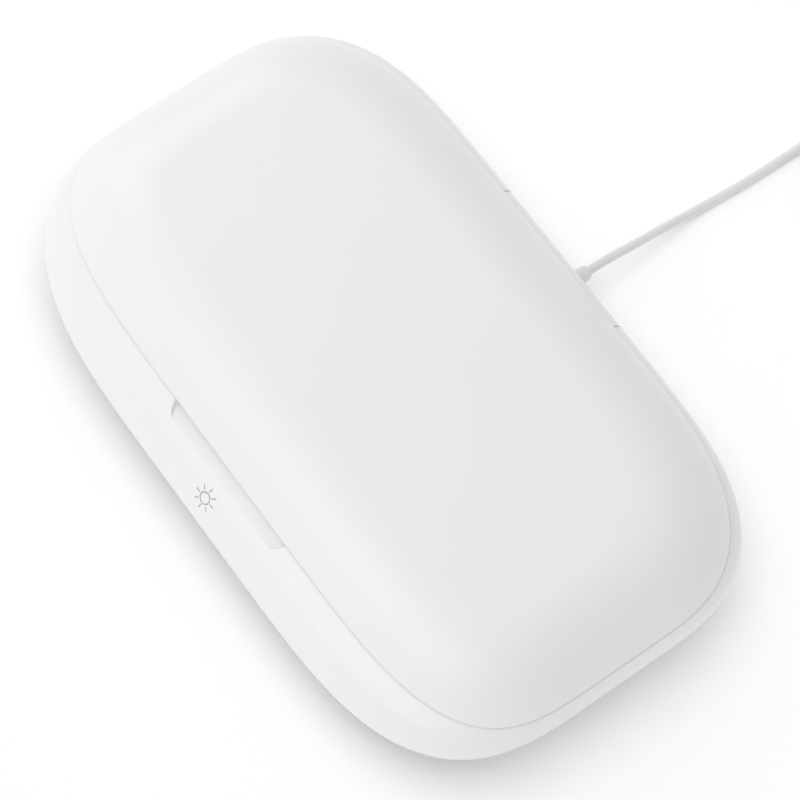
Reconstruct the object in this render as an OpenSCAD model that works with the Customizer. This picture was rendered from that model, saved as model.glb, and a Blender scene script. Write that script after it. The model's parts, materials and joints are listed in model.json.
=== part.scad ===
// UV sanitizer box for phones: a pebble-shaped base with a lamp-lit chamber, a hinged lid
// with a wireless charging coil under its flat top, and a thin lead that leaves at the back.
// X runs along the box, -Y is the front (finger slot and touch symbol), +Y is the hinge side.

/* [Body] */
// Length of the base at its widest line
base_l = 215; // [206:1:230]
// Width of the base at its widest line
base_w = 126.5; // [124:0.5:134]
// Height of the closed box, feet included
box_h = 44; // [43.5:0.5:50]
// Height of the seam between base and lid
seam_z = 28; // [27.5:0.5:29]
// Height of the widest line along the front
belt_front_z = 11.8; // [9:0.1:14]
// Height of the widest line along the ends and the back
belt_side_z = 21.5; // [20.5:0.1:22.5]
// How far the underside is drawn in from the widest line
underside_inset = 26.5; // [25:0.5:27]
// Wall thickness of the two outer shells
wall = 2.2; // [1.8:0.1:2.4]
// Corner radius of the base at the front
base_front_r = 24.5; // [20:0.5:30]
// Corner radius of the base at the back
base_back_r = 28.3; // [24:0.1:34]

/* [Lid] */
// Length of the lid along the seam
lid_l = 211.8; // [204:0.2:213]
// Width of the lid along the seam
lid_w = 111; // [110:0.5:114]
// How far the lid sits behind the middle of the base
lid_shift = 4.7; // [4.4:0.1:5]
// Corner radius of the lid at the front
lid_front_r = 15.3; // [12:0.1:20]
// Corner radius of the lid at the back
lid_back_r = 31.4; // [28:0.1:35]
// Width of the roll from the seam to the flat top
lid_roll = 24; // [20:0.5:28]
// Visible gap between lid and base
seam_gap = 0.3; // [0.2:0.05:0.5]

/* [Chamber] */
// Length of the well that holds the phone
well_l = 184; // [176:1:188]
// Width of the well that holds the phone
well_w = 86; // [84:0.5:87]
// Corner radius of the well
well_r = 22; // [14:1:28]
// Depth of the well below the deck
well_depth = 14; // [13:0.5:14.5]
// Sheet thickness of the tray and of the lid liner
tray_t = 1.4; // [1.2:0.1:1.6]
// Length of the lamp trough in the well's floor
trough_l = 166; // [160:1:168]
// Width of the lamp trough in the well's floor
trough_w = 16; // [14:0.5:17]
// Depth of the lamp trough below the well's floor
trough_depth = 7; // [6.8:0.1:7]
// Wire diameter of the phone rack
rack_wire_d = 2; // [1.5:0.1:2.4]

/* [Lamps] */
// Diameter of a lamp tube
tube_d = 5; // [4:0.2:5.4]
// Length of a lamp tube, caps included
lamp_l = 158; // [146:1:158]
// Diameter of a lamp's end cap
cap_d = 6.6; // [6.2:0.2:6.6]
// Length of a lamp's end cap
cap_l = 9; // [7:0.5:11]

/* [Hinge] */
// Length of the hinge block between its two notches
hinge_l = 51; // [46:0.5:56]
// Diameter of the hinge barrel
barrel_d = 4.4; // [4:0.1:4.6]
// Diameter of the hinge pins
pin_d = 2; // [1.6:0.1:2.2]
// Length of a hinge pin
pin_l = 13; // [11:0.5:14]
// Clearance round a pin in the barrel
pin_fit = 0.05; // [0.03:0.01:0.08]
// Gap between the hinge block and its notch
hinge_gap = 0.4; // [0.3:0.05:0.6]

/* [Finger slot] */
// Length of the finger slot under the lid's front edge
slot_l = 53; // [44:1:58]
// Depth of the finger slot below the seam
slot_h = 2.6; // [2.2:0.1:3.2]
// How far the finger slot comes out in front of the lid's edge
slot_lip = 2.7; // [2.2:0.1:3.2]
// How far the finger slot reaches in under the lid's edge
slot_reach = 4.8; // [4:0.1:5]

/* [Charger] */
// Outer diameter of the charging coil
coil_d = 50; // [44:1:52]
// Inner diameter of the charging coil
coil_bore = 21; // [16:1:26]
// Thickness of the charging coil
coil_t = 1.4; // [1:0.1:1.6]

/* [Lead] */
// Diameter of the lead
cord_d = 2.6; // [2.4:0.1:2.8]
// Height of the lead's exit above the table
exit_z = 10; // [9:0.5:11]
// How far the lead leaves to the right of the middle
exit_x = 1.6; // [0:0.1:2]
// Length of the strain relief outside the box
relief_l = 12; // [9:0.5:13]

/* [Hidden] */

$fn = 48;
eps = 0.01;
fit = 0.3;                       // free gap between pieces that don't touch
snug = 0.05;                     // gap between pieces that seat in each other

// screws and wires
screw_d = 2.2;
free_d = screw_d + 0.3;          // hole that a screw passes through
head_d = 4;
head_h = 1.1;
boss_d = 5.4;
wire_d = 1.2;

// plan form: steps of a quarter ring, and how square each side's curve is
steps = 14;
base_front = [base_front_r, 0.31];
base_back = [base_back_r, 0.20];
lid_front = [lid_front_r, 0.30];
lid_back = [lid_back_r, 0.19];
shoulder_angle = 47.4;           // where the shoulder's arc meets the seam
lid_lean = 34;                   // where the lid's arc leaves the seam
cy = lid_shift;                  // middle of lid and chamber
lid_y0 = cy - lid_w / 2;         // front edge of the lid
lid_y1 = cy + lid_w / 2;         // back edge of the lid

// levels of the base
bottom_z = 1.5;                  // underside of the shell, as high as the feet stand out
floor_z = bottom_z + wall;       // inner floor of the base shell
deck_t = 1.5;
deck_top = seam_z - 0.3;
deck_z = deck_top - deck_t;      // underside of the deck
deck_inset = wall + fit;         // edge of the deck, in from the seam line
well_z = deck_top - well_depth;  // floor of the well
trough_z = well_z - trough_depth;

// levels of the lid, from the roof down: coil, shield, holder, screw heads, liner
lid_z = seam_z + seam_gap;       // lower edge of the lid
roof_z = box_h - wall;           // inner roof of the lid
coil_z = roof_z - coil_t - snug;
shield_t = 0.8;
shield_z = coil_z - shield_t;
holder_t = 1.2;
holder_z = shield_z - holder_t;
dome_gap = 0.55;
dome_top = holder_z - head_h - dome_gap;
dome_z = dome_top - tray_t;      // inner roof of the liner's dome
flange_z = lid_z + 0.7;          // underside of the liner's flange
flange_t = 1.4;
flange_top = flange_z + flange_t;
flange_inset = wall + 2;         // edge of the liner's flange, in from the seam line

// chamber
well_y0 = cy - well_w / 2;       // front wall of the well, inner face
well_y1 = cy + well_w / 2;       // back wall of the well, inner face
dome_end = 4;                    // the dome is this much shorter than the well at each end
dome_side = 8;                   // and this much narrower at each side
dome_l = well_l - 2 * dome_end;
dome_w = well_w - 2 * dome_side;
dome_r = 18;
seal_gap = 1.5;                  // from the well's edge to the seal
seal_w = 3;
seal_t = flange_z - deck_top - fit;
boss_gap = 0.5;                  // from the dome to the bosses beside it
liner_screw_y = dome_w / 2 + tray_t + boss_gap + boss_d / 2;
liner_screw_x = [dome_l / 2 - 16, 30];
liner_screws_at = [for (x = liner_screw_x, i = [-1, 1], j = [-1, 1])
    [i * x, cy + j * liner_screw_y]];

// underside
flat_l = base_l - 2 * underside_inset;
flat_w = base_w - 2 * underside_inset;
cover_rim = 4.5;                 // flat rim of the shell round the bottom cover
cover_l = flat_l - 2 * cover_rim;
cover_w = flat_w - 2 * cover_rim;
cover_r = 16;
ledge_t = 1.3;
ledge_in = 7;                    // the ledge reaches in over the cover's edge, and out
ledge_out = 5;
ledge_z = floor_z + ledge_t;
ledge_l = cover_l - 2 * ledge_in;
ledge_w = cover_w - 2 * ledge_in;
boss_y = ledge_w / 2 + 3;        // row of screw bosses on the ledge
cover_screw_x = cover_l / 2 - 16.5;
tray_screw_x = cover_screw_x - 11;
cover_screws_at = [for (x = [-1, 1], y = [-1, 1]) [x * cover_screw_x, y * boss_y]];
tray_screws_at = [for (x = [-1, 1], y = [-1, 1]) [x * tray_screw_x, y * boss_y]];
foot_d = 10;
foot_sink = 0.8;
feet_at = [for (x = [-1, 1], y = [-1, 1]) [x * (cover_l / 2 - 8), y * (cover_w / 2 - 12)]];

// lamps, and the wire guard below the upper one
weld = 0.85;                     // crossed wires lie this share of their diameter apart
lamp_gap = 0.4;                  // from a lamp's cap to the surface behind it
base_lamp_z = trough_z + cap_d / 2 + lamp_gap;
lid_lamp_z = dome_z - cap_d / 2 - lamp_gap;
guard_wire_d = 1.6;
guard_z = lid_lamp_z - tube_d / 2 - 1.1;         // cross wires, below the tube
guard_long_z = guard_z + weld * guard_wire_d;
guard_y = 8;
guard_end = dome_l / 2 - 0.5;
guard_bars = 9;
guard_pitch = (lamp_l - 2 * cap_l - 8) / (guard_bars - 1);      // all between the caps
post_w = 4;                      // posts that carry the guard at the dome's ends
wire_hole_x = dome_l / 2 - 4;
wire_hole_d = 2.8;

// rack
rack_l = well_l - 14;
rack_w = well_w - 8;
rack_bars = 10;
rack_end = 6;                    // from the long wires' ends to the first cross bar
rack_leg_y = 30;
rack_long_z = well_z + rack_wire_d / 2;
rack_cross_z = rack_long_z + weld * rack_wire_d;

// hinge
pivot_y = lid_y1 + 0.4;
pivot_z = seam_z - 4.7;
pin_x = hinge_l / 2 - 7.5;       // inner end of each pin
notch_l = hinge_l + 2 * hinge_gap;
notch_z = pivot_z - barrel_d / 2 - 0.6;
boss_reach = 6;
block_y = lid_y1 - 4.8;          // inner face of the hinge block
lead_gap = 6;                    // half the gap in the barrel where the wires cross
lead_gap_z = pivot_z - 0.3;      // the wires' gap is open to the back below this level
lead_gap_top = pivot_z + 2.1;
bracket_t = 1.8;
bracket_y = lid_y1 - 14;
bracket_screws_at = [for (x = [-18, 18]) [x, bracket_y + 4]];

// finger slot
slot_wall = 1.2;
// its outlines from the top down: reach in front of the lid's edge, what each end draws in,
// depth below the seam and corner radius
slot_steps = [[slot_lip + 3.6, 0, 0.3 * slot_h, 4.5], [slot_lip + 0.9, 0.5, 0.78 * slot_h, 4],
    [slot_lip - 2.3, 1, 0.92 * slot_h, 3], [slot_lip - 3.3, 1.6, slot_h, 1.8]];

// touch symbol: a point of the front shoulder, given by its angle on the shoulder's arc
touch_angle = 26;
shoulder_in = (lid_y0 + base_w / 2) / (1 - cos(shoulder_angle));
shoulder_up = (seam_z - belt_front_z) / sin(shoulder_angle);
touch_y = shoulder_in * (1 - cos(touch_angle)) - base_w / 2;
touch_z = shoulder_up * sin(touch_angle) + belt_front_z;
touch_slope = atan2(shoulder_up * cos(touch_angle), shoulder_in * sin(touch_angle));
touch_face = -wall - 1.8;        // face of the touch board's seat, below the surface
touch_pad_d = 7;
touch_pad_t = 0.6;
touch_pad_y = -1;
touch_board_t = 1;
touch_screw_x = 10.5;
touch_screw_y = -1.5;

// magnets and lid switch
magnet_d = 4;
magnet_t = 1.5;
magnet_wall = 1;                 // wall of the cup round a magnet
magnet_x = well_l / 2 - 32;
magnets_at = [for (x = [-1, 1]) [x * magnet_x, well_y0 - tray_t - magnet_d / 2 - fit]];
switch_x = 42;
switch_y = lid_y0 + deck_inset + 2.8;
plunger_d = 2.2;
plunger_fit = 0.06;
plunger_stroke = 1.5;
switch_z = deck_z - 6;           // underside of the switch
switch_ear = 6.4;
plunger_z = switch_z + 1.8;      // lower end of the plunger
plunger_top = flange_z - 0.1;

collar_d = 3.4;
collar_t = 1.2;

// boards
board_t = 1.2;
board_z = 6;
board_top = board_z + board_t;
board_l = 2 * tray_screw_x - 14;
board_w = 18;
trough_y0 = cy - trough_w / 2 - tray_t;          // the boards lie on both sides of the trough
trough_y1 = cy + trough_w / 2 + tray_t;
power_y = [trough_y1 + 1.3, trough_y1 + 1.3 + board_w];
inverter_y = [trough_y0 - 3.3 - board_w, trough_y0 - 3.3];
board_screw_x = board_l / 2 - 6;
board_screws_at = [for (x = [-1, 1], y = [inverter_y[0] + 9, power_y[0] + 6.6])
    [x * board_screw_x, y]];

// charger
holder_d = coil_d + 8;
ear_x = holder_d / 2 + 2;
charger_x = 62;
charger_l = 36;
charger_w = 30;
charger_z = roof_z - 2.4 - board_t;
charger_screws_x = [charger_x - 14, charger_x + 14];
charger_wire_z = charger_z + board_t + 0.9;
over_dome = dome_top + 1.3;      // level of the wires that cross over the dome

// strain relief and lead
exit_y = side_y(exit_z);         // rear wall at the exit
relief_d = 6.4;
relief_tip_d = 4.2;
relief_flange_d = 6.4;
relief_neck_d = 4.4;
relief_y0 = well_y1 + tray_t + 0.7;
relief_y = [relief_y0, relief_y0 + 1.2, relief_y0 + 2.9];    // flange, neck and seat
cord_y0 = exit_y + relief_l;     // outer end of the strain relief
relief_seat = 11;                // half the width of the block that the strain relief sits in
plate_screw_x = 6.6;
plate_screw_z = exit_z + 2;
plate_t = relief_y[2] - relief_y[1] - 2 * snug;

// route of the lead over the table, from the strain relief to the coil: sideways, away from
// the strain relief, share of the exit's height left, and lift off the table
run_shape = [[0, 0, 1, 0], [0, 2.6, 1, 0], [0.05, 5.6, 0.99, 0], [0.15, 9.6, 0.94, 0],
    [0.2, 13.6, 0.86, 0], [0.2, 17.6, 0.76, 0], [0.1, 23.6, 0.61, 0], [-0.1, 29.6, 0.41, 0],
    [-0.3, 34.6, 0.22, 0], [-0.4, 39.6, 0.07, 0], [-0.25, 44.6, 0.01, 0], [0.1, 49.6, 0, 0],
    [0.5, 56.6, 0, 0], [0.65, 62.6, 0, 0], [0.7, 68.6, 0, 0], [0.75, 74.6, 0, 0.1],
    [0.8, 80.6, 0, 0.4], [0.8, 86.6, 0, 0.8], [0.8, 90, 0, 1], [0.8, 92.2, 0, 1]];
run_path = [for (p = run_shape)
    [exit_x + p[0], cord_y0 + p[1], cord_d / 2 + p[2] * (exit_z - cord_d / 2) + p[3]]];
coil_entry = run_path[len(run_path) - 1];

// coil: half of the turns spiral in, the other half spiral out again on top of them
turns = 9.25;
turn_pitch = cord_d + 0.45;
mean_r = 15.3;
coil_r = mean_r + turn_pitch * turns / 4;
coil_x = coil_entry[0] + coil_r;
coil_y = coil_entry[1] + cord_d;
rings_per_turn = 24;
climb = 0.25;                    // the climb starts and ends this many turns from the middle
function climbed(u) = min(1, max(0, (u - turns / 2 + climb) / (2 * climb)));
function turn_point(u) =
    let (r = coil_r - turn_pitch * min(u, turns - u), a = 180 - 360 * u)
    [coil_x + r * cos(a), coil_y + r * sin(a), coil_entry[2] + turn_pitch * climbed(u)];
turn_path = [for (i = [0:rings_per_turn * turns]) turn_point(i / rings_per_turn)];
coil_exit = turn_path[len(turn_path) - 1] + [cord_d, 0, 0];
coil_path = concat([coil_entry], turn_path, [coil_exit]);
coil_self_gap = min([for (i = [0:len(coil_path) - 1], j = [i + 12:1:len(coil_path) - 1])
    norm(coil_path[i] - coil_path[j])]) - cord_d;

// tail and plug, which lies beside the coil
plug_z = 4;
tail_shape = [[0, 0], [1.4, 0], [3.4, 0.1], [6.4, 0.35], [9.4, 0.7], [12.4, 0.93], [15.4, 1],
    [18, 1]];
tail_path = [for (p = tail_shape)
    [coil_exit[0] + p[0], coil_exit[1], coil_exit[2] + p[1] * (plug_z - coil_exit[2])]];
plug_at = tail_path[len(tail_path) - 1];
grip_l = 22;
grip_w = 15.5;
grip_h = 8;
shell_l = 18;
shell_w = 12;
shell_h = 4.5;
shell_t = 0.3;
shell_r = 0.6;
tongue_w = shell_w - 2 * shell_r;
tie_t = 0.8;
tie_w = 7;
tie_gap = 0.3;                   // from the tie to the turns that it holds

// routes of the wires inside; those to the lid meet on the hinge axis, where they only twist
inner_lead_path = [[exit_x, relief_y[0], exit_z], [exit_x, relief_y[0] - 1.5, exit_z],
    [exit_x, relief_y[0] - 4, exit_z - 0.1], [exit_x / 2, relief_y[0] - 8, exit_z - 0.5],
    [0, relief_y[0] - 11, exit_z - 0.7], [0, power_y[1] + 3, board_top + 2.2],
    [0, power_y[1] + 1, board_top + 2.2]];
lamp_lead_bends = [[88.6, 3.4, 9.8], [89.6, 0.6, 9.2], [89, -3, 8.8], [86, -7.4, 8.6],
    [80, -11, 8.6], [70, -14.6, 8.6], [board_l / 2 + 14, -17, 8.6],
    [board_l / 2 + 4, -17.5, 8.6]];
touch_lead_bends = [[5, -52, 15.6], [8, -49, 12], [11, -44, 9.2], [13, -37, 8.6],
    [13, -30, 8.6]];
switch_lead_bends = [[41, -41.2, 20.4], [40, -41.4, 15], [38, -41, 11], [35, -38, 9.4],
    [31, -34, 8.7], [29, -30, 8.6]];
hinge_lead_path = [[22, power_y[1], 9], [22, 40, 9], [21, 45, 9.6], [19, 49.6, 11.6],
    [16, 52, 15], [11, 53, 18.6], [6.6, 54.2, 21.2], [4.4, 56, 22.6], [3.4, 58.4, 23.2],
    [2.6, 60, pivot_z], [1.4, pivot_y, pivot_z], [0, pivot_y, pivot_z]];
coil_lead_path = [[0, pivot_y, pivot_z], [-1.6, pivot_y, pivot_z], [-3, 60, pivot_z + 0.4],
    [-4, 58, 25], [-4, 57, 27], [-4, 56.4, 28.8], [-4, 55.8, 30.1], [-4, 54.7, 31.3],
    [-4, 51.5, 32.8], [-3, 48, (flange_top + over_dome) / 2], [2, 44.6, over_dome - 1.6],
    [10, 39.5, over_dome], [20, 32, over_dome], [32, 20, over_dome],
    [40, 13.5, charger_wire_z - 0.7], [42.6, 12, charger_wire_z]];
right_lead_bends = [[83.4, 4.7, lid_lamp_z + 2.8], [84, 4.6, dome_top + 0.5],
    [83.6, 2.6, charger_wire_z - 0.9], [82.4, 0.4, charger_wire_z - 0.1],
    [81, -1, charger_wire_z]];
left_lead_bends = [[-83.4, 4.7, lid_lamp_z + 2.8], [-84, 4.5, dome_top + 0.5],
    [-82, 1, over_dome], [-76, -6, over_dome], [-60, -17, over_dome], [-44, -25, over_dome],
    [-24, -29, over_dome], [0, -29.5, over_dome], [20, -28, over_dome], [34, -20, over_dome],
    [39, -10, over_dome + 0.8], [41, -5, charger_wire_z - 0.3], [42.8, -4, charger_wire_z]];

// ---------------------------------------------------------------- plan curves

function ease(u) = pow(u, 2.5) / (pow(u, 2.5) + pow(1 - u, 2.5));
function bow(v, e) = sign(v) * pow(abs(v), e);
function shrunk(c, s) = [c[0] * c[0] / (c[0] + s), c[1]];
function plan_point(hl, hw, c, a) = [
    (hl - c[0]) * bow(cos(a), c[1]) + c[0] * cos(a),
    (hw - c[0]) * bow(sin(a), c[1]) + c[0] * sin(a)];

// closed plan curve, drawn in by s, counter-clockwise from +X
function plan(l, w, front, back, s, y) = [for (q = [0:3], i = [0:steps - 1])
    let (a = 90 * (q + ease(i / steps)))
    let (p = plan_point(l / 2 - s, w / 2 - s, shrunk(q < 2 ? back : front, s), a))
    [p[0], p[1] + y]];
function base_plan(s) = plan(base_l, base_w, base_front, base_back, s, 0);
function lid_plan(s) = plan(lid_l, lid_w, lid_front, lid_back, s, cy);

// height of the widest line at each point of the plan curve
function front_share(i) = let (q = floor(i / steps), u = i / steps - q)
    q < 2 ? 0 : pow(sin(90 * (q + ease(u))), 2);
function belt_z(i) = belt_side_z + (belt_front_z - belt_side_z) * front_share(i);

// base surface, drawn in by s: below the belt at angle p, on the shoulder at angle t
function under_ring(p, s) = let (pts = base_plan(s + underside_inset * (1 - cos(p))))
    [for (i = [0:len(pts) - 1])
        [pts[i][0], pts[i][1], belt_z(i) - (belt_z(i) - bottom_z - s) * sin(p)]];
function shoulder_ring(t, s) =
    let (b = base_plan(s), r = lid_plan(s))
    let (f = (1 - cos(t)) / (1 - cos(shoulder_angle)), g = sin(t) / sin(shoulder_angle))
    [for (i = [0:len(b) - 1])
        [b[i][0] + (r[i][0] - b[i][0]) * f, b[i][1] + (r[i][1] - b[i][1]) * f,
            belt_z(i) + (seam_z - belt_z(i)) * g]];

// lid surface, drawn in by s, at angle t of its arc
function lid_in(t) = lid_roll * (cos(lid_lean) - cos(t)) / cos(lid_lean);
function lid_up(t) = (sin(t) - sin(lid_lean)) / (1 - sin(lid_lean));
function lid_ring(t, s) = let (pts = lid_plan(s + lid_in(t)))
    [for (p = pts) [p[0], p[1], lid_z + (box_h - s - lid_z) * lid_up(t)]];

// how far in from the lid's edge a piece at height z has to stay, to clear the lid's wall
function lid_inside(z) = let (u = (z - lid_z) / (roof_z - lid_z))
    wall + fit + lid_in(asin(sin(lid_lean) + u * (1 - sin(lid_lean))));

// rear surface of the base, below and above its widest line
function side_y(z) = let (h = (belt_side_z - z) / (belt_side_z - bottom_z))
    base_w / 2 - underside_inset * (1 - sqrt(1 - h * h));
function rear_y(z) = let (g = (z - belt_side_z) / (seam_z - belt_side_z))
    let (t = asin(min(1, g * sin(shoulder_angle))))
    let (f = (1 - cos(t)) / (1 - cos(shoulder_angle)))
    base_w / 2 + (lid_y1 - base_w / 2) * f;

// ---------------------------------------------------------------- helpers

// closed solid through a list of rings, each counter-clockwise seen from above
module loft(rings) {
    n = len(rings[0]);
    last = (len(rings) - 1) * n;
    polyhedron(
        points = [for (r = rings, p = r) p],
        faces = concat(
            [[for (i = [0:n - 1]) i]],
            [for (k = [0:len(rings) - 2], i = [0:n - 1])
                [k * n + i, (k + 1) * n + i, (k + 1) * n + (i + 1) % n]],
            [for (k = [0:len(rings) - 2], i = [0:n - 1])
                [k * n + i, (k + 1) * n + (i + 1) % n, k * n + (i + 1) % n]],
            [[for (i = [n - 1:-1:0]) last + i]]));
}

module rounded(l, w, r) {
    square([l - 2 * r, w], center = true);
    square([l, w - 2 * r], center = true);
    for (x = [-1, 1], y = [-1, 1])
        translate([x * (l / 2 - r), y * (w / 2 - r)]) circle(r);
}

module slab(l, w, r, z0, z1, y = 0) {
    translate([0, y, z0]) linear_extrude(z1 - z0) rounded(l, w, r);
}

module lid_slab(s, z0, z1) {
    translate([0, 0, z0]) linear_extrude(z1 - z0) polygon(lid_plan(s));
}

module box(x0, x1, y0, y1, z0, z1) {
    translate([x0, y0, z0]) cube([x1 - x0, y1 - y0, z1 - z0]);
}

module rod(p, d, l) {
    translate(p) cylinder(d = d, h = l);
}

module rod_x(x0, x1, y, z, d) {
    translate([x0, y, z]) rotate([0, 90, 0]) cylinder(d = d, h = x1 - x0);
}

module rod_y(x, y0, y1, z, d) {
    translate([x, y0, z]) rotate([-90, 0, 0]) cylinder(d = d, h = y1 - y0);
}

// screw with its head down, thread up
module screw_up(p, l) {
    rod(p, head_d, head_h);
    rod([p[0], p[1], p[2] + head_h - eps], screw_d, l);
}

// screw with its head up, thread down
module screw_down(p, l) {
    rod(p, head_d, head_h);
    rod([p[0], p[1], p[2] - l], screw_d, l + eps);
}

// direction of a path at point i
function unit(v) = v / norm(v);
function heading(path, i) = i == 0 ? unit(path[1] - path[0])
    : i == len(path) - 1 ? unit(path[i] - path[i - 1])
    : unit(unit(path[i + 1] - path[i]) + unit(path[i] - path[i - 1]));
function across(h) = unit(cross(h, [0, 0, 1]));

// tube of the given diameter swept along a path that never runs straight up
module tube(path, d, sides) {
    n = len(path);
    polyhedron(
        points = [for (i = [0:n - 1])
            let (h = heading(path, i), u = across(h), v = cross(u, h))
            for (k = [0:sides - 1])
                let (a = 360 * (k + 0.5) / sides)
                path[i] + d / 2 * (u * cos(a) + v * sin(a))],
        faces = concat(
            [[for (k = [sides - 1:-1:0]) k]],
            [for (i = [0:n - 2], k = [0:sides - 1])
                [i * sides + k, i * sides + (k + 1) % sides, (i + 1) * sides + k]],
            [for (i = [0:n - 2], k = [0:sides - 1])
                [i * sides + (k + 1) % sides, (i + 1) * sides + (k + 1) % sides,
                    (i + 1) * sides + k]],
            [[for (k = [0:sides - 1]) (n - 1) * sides + k]]));
}

module wire(path) {
    tube(path, wire_d, 6);
}

// ---------------------------------------------------------------- base

under_angles = [90, 76, 62, 48, 34, 20, 8];
shoulder_angles = [0, 10, 20, 29, 38, shoulder_angle];

module base_form(s) {
    loft(concat(
        [for (p = under_angles) under_ring(p, s)],
        [for (t = shoulder_angles) shoulder_ring(t, s)]));
}

module base_wall() {
    loft(concat(
        [for (p = under_angles) under_ring(p, 0)],
        [for (t = shoulder_angles) shoulder_ring(t, 0)],
        [for (k = [len(shoulder_angles) - 1:-1:0]) shoulder_ring(shoulder_angles[k], wall)],
        [for (k = [len(under_angles) - 1:-1:0]) under_ring(under_angles[k], wall)]));
}

// one outline of the finger slot, grown to all sides and raised by h
module slot_outline(step, grow, h) {
    front = step[0] + grow;
    back = slot_reach + grow;
    translate([0, lid_y0 + (back - front) / 2, seam_z - step[2] - grow])
        linear_extrude(h)
            rounded(slot_l - 2 * step[1] + 2 * grow, front + back,
                min(step[3] + grow, (front + back) / 2 - 0.1));
}

// the slot is a shallow scoop: its floor runs out into the shoulder in front
module slot_form(grow, top) {
    for (k = [1:len(slot_steps) - 1])
        hull() {
            slot_outline(slot_steps[k - 1], grow, eps);
            slot_outline(slot_steps[k], grow, eps);
        }
    slot_outline(slot_steps[0], grow, top - seam_z + slot_steps[0][2] + grow);
}

// frame of the touch symbol: +Z points out of the front shoulder
module at_touch() {
    translate([0, touch_y, touch_z]) rotate([touch_slope, 0, 0]) children();
}

module base_ledge() {
    difference() {
        slab(cover_l + 2 * ledge_out, cover_w + 2 * ledge_out, cover_r + ledge_out,
            floor_z, ledge_z);
        slab(ledge_l, ledge_w, cover_r - ledge_in, floor_z - 1, ledge_z + 1);
    }
}

module base_inner_features() {
    base_ledge();
    slot_form(slot_wall, deck_top);
    for (x = [-1, 1])
        rod_x(x * (notch_l + boss_reach) / 2 - boss_reach / 2,
            x * (notch_l + boss_reach) / 2 + boss_reach / 2,
            pivot_y, pivot_z, barrel_d + 0.6);
    box(exit_x - relief_seat, exit_x + relief_seat, relief_y[2], exit_y + 2,
        exit_z - 6, exit_z + 6);
    at_touch() box(-14, 14, -6.5, 3.5, touch_face, -wall / 2);
}

module base_shell() {
    color("whitesmoke")
    difference() {
        union() {
            base_wall();
            intersection() {
                base_form(wall / 2);
                union() base_inner_features();
            }
            for (p = cover_screws_at) rod([p[0], p[1], floor_z + eps], boss_d, 5);
        }
        slab(cover_l + 2 * fit, cover_w + 2 * fit, cover_r, -1, floor_z);
        for (p = cover_screws_at) rod([p[0], p[1], 0], screw_d, 7.5);
        for (p = tray_screws_at) rod([p[0], p[1], 0], free_d, 9);
        slot_form(0, box_h);
        box(-notch_l / 2, notch_l / 2, block_y - 1, base_w, notch_z, box_h);
        rod_x(-pin_x - pin_l, pin_x + pin_l, pivot_y, pivot_z, pin_d);
        rod_y(exit_x, relief_y[2] - 1, base_w, exit_z, relief_d + 2 * snug);
        rod_y(exit_x, relief_y[0] - 1, relief_y[2], exit_z, relief_flange_d + fit);
        for (x = [-1, 1])
            rod_y(exit_x + x * plate_screw_x, relief_y[2] - 1, relief_y[2] + 3, plate_screw_z,
                screw_d);
        at_touch() {
            rod([0, touch_pad_y, touch_face - 1], touch_pad_d + 2 * snug, 1 + touch_pad_t);
            for (x = [-1, 1])
                rod([x * touch_screw_x, touch_screw_y, touch_face - 1], screw_d, 3.6);
        }
    }
}

module bottom_cover() {
    color("gainsboro")
    difference() {
        union() {
            slab(cover_l, cover_w, cover_r - fit, bottom_z, floor_z);
            for (p = board_screws_at) rod([p[0], p[1], floor_z - 0.5], 5, board_z - floor_z + 0.5);
        }
        for (p = cover_screws_at) {
            rod([p[0], p[1], 0], free_d, 9);
            rod([p[0], p[1], 0], head_d + 0.4, bottom_z + head_h);
        }
        for (p = tray_screws_at)
            rod([p[0], p[1], floor_z - head_h - 0.2], head_d + 0.6, 5);
        for (p = feet_at) rod([p[0], p[1], 0], foot_d + 2 * snug, bottom_z + foot_sink);
        for (p = board_screws_at) rod([p[0], p[1], floor_z - 0.2], screw_d, 9);
    }
}

module rubber_feet() {
    color("silver")
    for (p = feet_at) rod([p[0], p[1], 0], foot_d, bottom_z + foot_sink);
}

module cover_screws() {
    color("darkgray")
    for (p = cover_screws_at) screw_up([p[0], p[1], bottom_z], 4.6);
}

// ---------------------------------------------------------------- chamber in the base

module tray_deck() {
    difference() {
        lid_slab(deck_inset, deck_z, deck_top);
        slot_outline(slot_steps[0], slot_wall + fit, box_h);
        box(-notch_l / 2, notch_l / 2, block_y - 1, base_w, 0, box_h);
    }
}

module chamber_tray() {
    color("lightgray")
    difference() {
        union() {
            tray_deck();
            slab(well_l + 2 * tray_t, well_w + 2 * tray_t, well_r + tray_t,
                well_z - tray_t, deck_z + eps, cy);
            box(-trough_l / 2 - tray_t, trough_l / 2 + tray_t, trough_y0, trough_y1,
                trough_z - tray_t, well_z - 0.5);
            for (p = tray_screws_at) rod([p[0], p[1], ledge_z], boss_d, well_z - ledge_z - 0.5);
            for (p = magnets_at)
                rod([p[0], p[1], deck_z - magnet_t], magnet_d + 2 * magnet_wall, magnet_t + eps);
            for (x = [-1, 1])
                rod([switch_x + x * switch_ear, switch_y, switch_z + 2], 4.4,
                    deck_z - switch_z - 2 + eps);
        }
        slab(well_l, well_w, well_r, well_z, box_h, cy);
        box(-trough_l / 2, trough_l / 2, cy - trough_w / 2, cy + trough_w / 2,
            trough_z, well_z + 1);
        for (x = [-1, 1])
            rod_x(x * trough_l / 2 - 3, x * trough_l / 2 + 3, cy, base_lamp_z, wire_hole_d);
        for (p = tray_screws_at) rod([p[0], p[1], 0], screw_d, ledge_z + 5);
        for (p = magnets_at) rod([p[0], p[1], deck_z - magnet_t - 1], magnet_d, magnet_t + 1);
        for (x = [-1, 1])
            rod([switch_x + x * switch_ear, switch_y, 0], screw_d, switch_z + 4);
        rod([switch_x, switch_y, 0], plunger_d + 2 * plunger_fit + 0.3, box_h);
    }
}

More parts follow.
